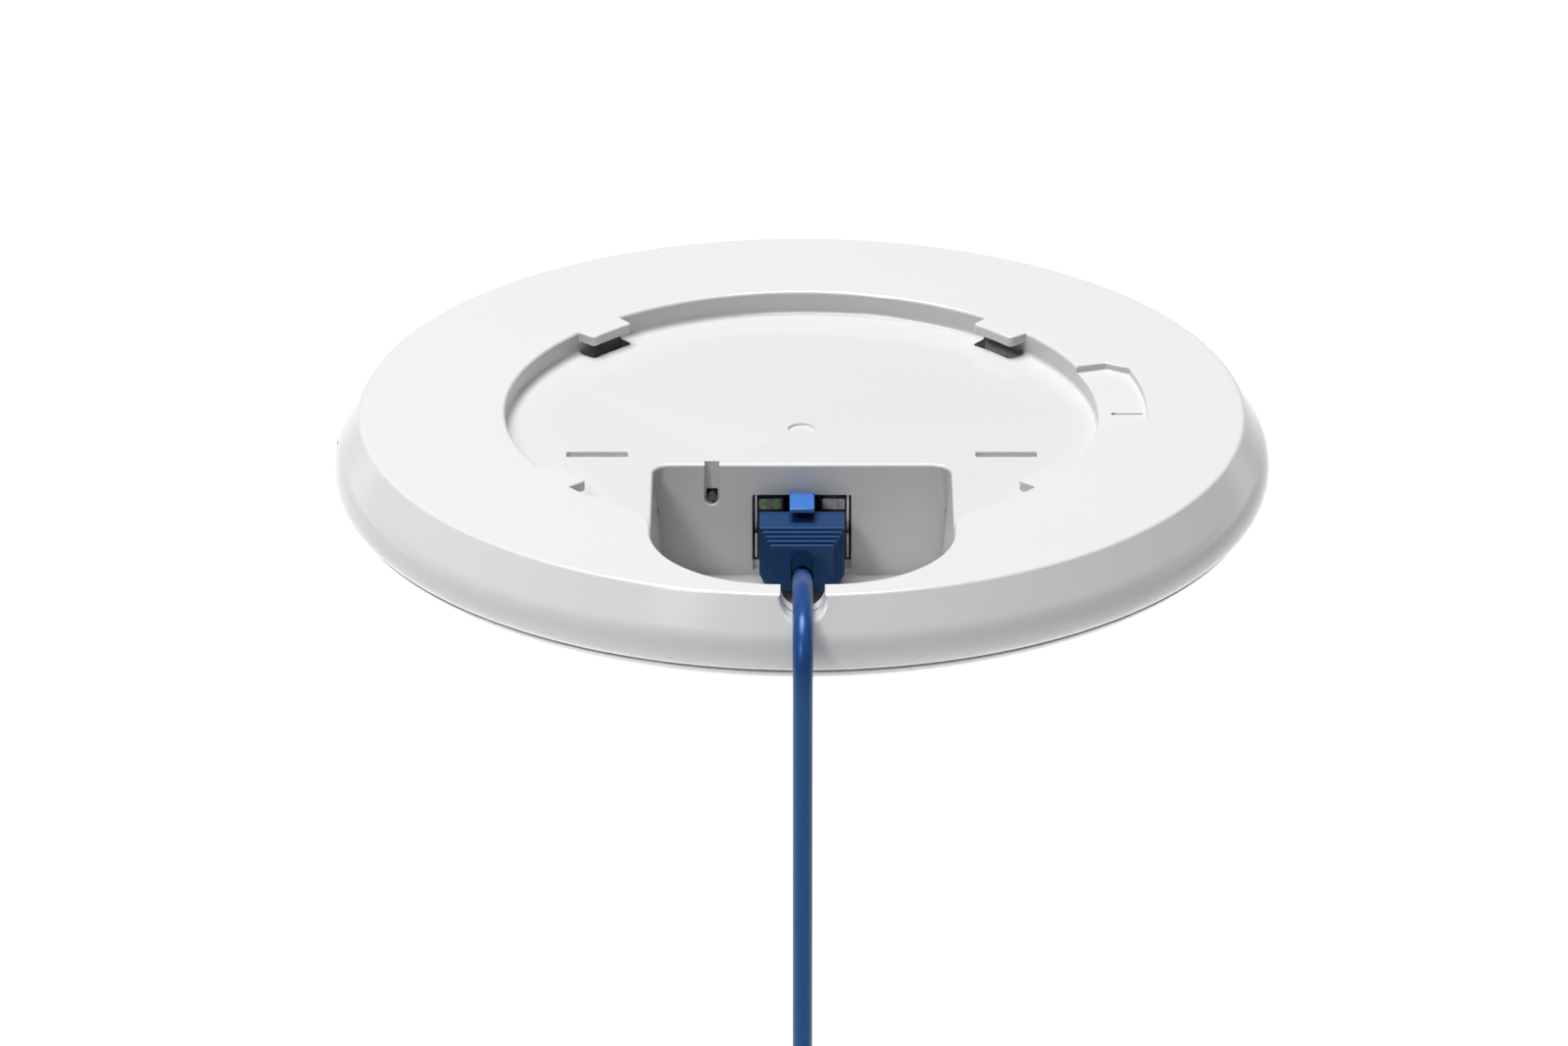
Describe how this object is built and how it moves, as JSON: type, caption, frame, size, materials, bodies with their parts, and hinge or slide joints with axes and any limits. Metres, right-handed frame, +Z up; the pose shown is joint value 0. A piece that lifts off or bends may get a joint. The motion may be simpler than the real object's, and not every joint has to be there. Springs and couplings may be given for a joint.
{
  "type": "ceiling access point",
  "caption": "Round white wireless access point for a ceiling, dome down, with a twist-lock recess in its back and a blue network lead plugged into a recessed port bay.",
  "frame": {"origin": "centre of the flat back rim, on the plane that lies against the ceiling", "axes": "+Z up towards the ceiling; -Y towards the cable notch; +X to the right when looking along +Y"},
  "size_m": [0.16, 0.1703, 0.1699],
  "materials": {
    "casing_plastic": "satin moulded white",
    "dome_plastic": "satin moulded white",
    "board_laminate": "green solder mask",
    "spreader_metal": "as-stamped aluminium",
    "chip_epoxy": "black moulding compound",
    "pad_silicone": "soft grey-blue silicone",
    "shield_tin": "tin-plated steel",
    "winding_tape": "amber tape over windings",
    "ferrite": "dark ferrite",
    "capacitor_sleeve": "shrink sleeve",
    "led_lens": "clear epoxy over phosphor",
    "light_pipe": "polished translucent",
    "antenna_metal": "stamped sheet",
    "screw_steel": "zinc-plated",
    "jack_plastic": "black glass-filled",
    "jack_metal": "nickel-plated shell",
    "contact_gold": "gold-plated",
    "light_green": "tinted window",
    "light_grey": "frosted window",
    "button_plastic": "moulded",
    "plug_clear": "clear polycarbonate",
    "latch_blue": "glossy blue",
    "boot_blue": "soft dark blue",
    "lead_jacket": "satin blue jacket",
    "tie_fabric": "hook-and-loop strap"
  },
  "bodies": {
    "access_point": {"rear_casing": "casing_plastic", "port_bay": "casing_plastic", "front_dome": "dome_plastic", "main_board": "board_laminate", "heat_spreader": "spreader_metal", "processor": "chip_epoxy", "thermal_pad": "pad_silicone", "memory_chip": "chip_epoxy", "radio_shield_left": "shield_tin", "radio_shield_right": "shield_tin", "network_transformer": "chip_epoxy", "power_transformer": "winding_tape", "power_inductor": "ferrite", "power_capacitor_1": "capacitor_sleeve", "power_capacitor_2": "capacitor_sleeve", "status_led": "led_lens", "status_light_pipe": "light_pipe", "antenna_1": "antenna_metal", "antenna_2": "antenna_metal", "antenna_3": "antenna_metal", "antenna_4": "antenna_metal", "board_screw_1": "screw_steel", "board_screw_2": "screw_steel", "board_screw_3": "screw_steel", "board_screw_4": "screw_steel", "spreader_screw_1": "screw_steel", "spreader_screw_2": "screw_steel", "jack_housing": "jack_plastic", "jack_shield": "jack_metal", "jack_contacts": "contact_gold", "jack_light_left": "light_green", "jack_light_right": "light_grey", "reset_switch": "chip_epoxy", "far_plug_body": "plug_clear", "far_plug_contacts": "contact_gold", "far_plug_boot": "boot_blue", "lead_coil": "lead_jacket", "lead_tail": "lead_jacket", "coil_tie": "tie_fabric"},
    "reset": {"reset_button": "button_plastic"},
    "plug": {"plug_body": "plug_clear", "plug_contacts": "contact_gold", "plug_boot": "boot_blue", "patch_lead": "lead_jacket"},
    "latch": {"plug_latch": "latch_blue"},
    "far_latch": {"far_plug_latch": "latch_blue"}
  },
  "joints": [
    {"name": "plug_slide", "type": "slide", "parent": "access_point", "child": "plug", "axis": [0, -1, 0], "range_m": [0, 0.014], "deforming": ["patch_lead"]},
    {"name": "latch_press", "type": "hinge", "parent": "plug", "child": "latch", "pos_m": [0, -0.0048, -0.0138], "axis": [1, 0, 0], "range_deg": [0, 5], "stiffness_Nm_per_rad": 0.1},
    {"name": "far_latch_press", "type": "hinge", "parent": "access_point", "child": "far_latch", "pos_m": [0.0235, -0.0743, -0.1681], "axis": [1, 0, 0], "range_deg": [0, 5], "stiffness_Nm_per_rad": 0.1},
    {"name": "reset_press", "type": "slide", "parent": "access_point", "child": "reset", "axis": [0, 1, 0], "range_m": [0, 0.0005], "stiffness_N_per_m": 400}
  ]
}
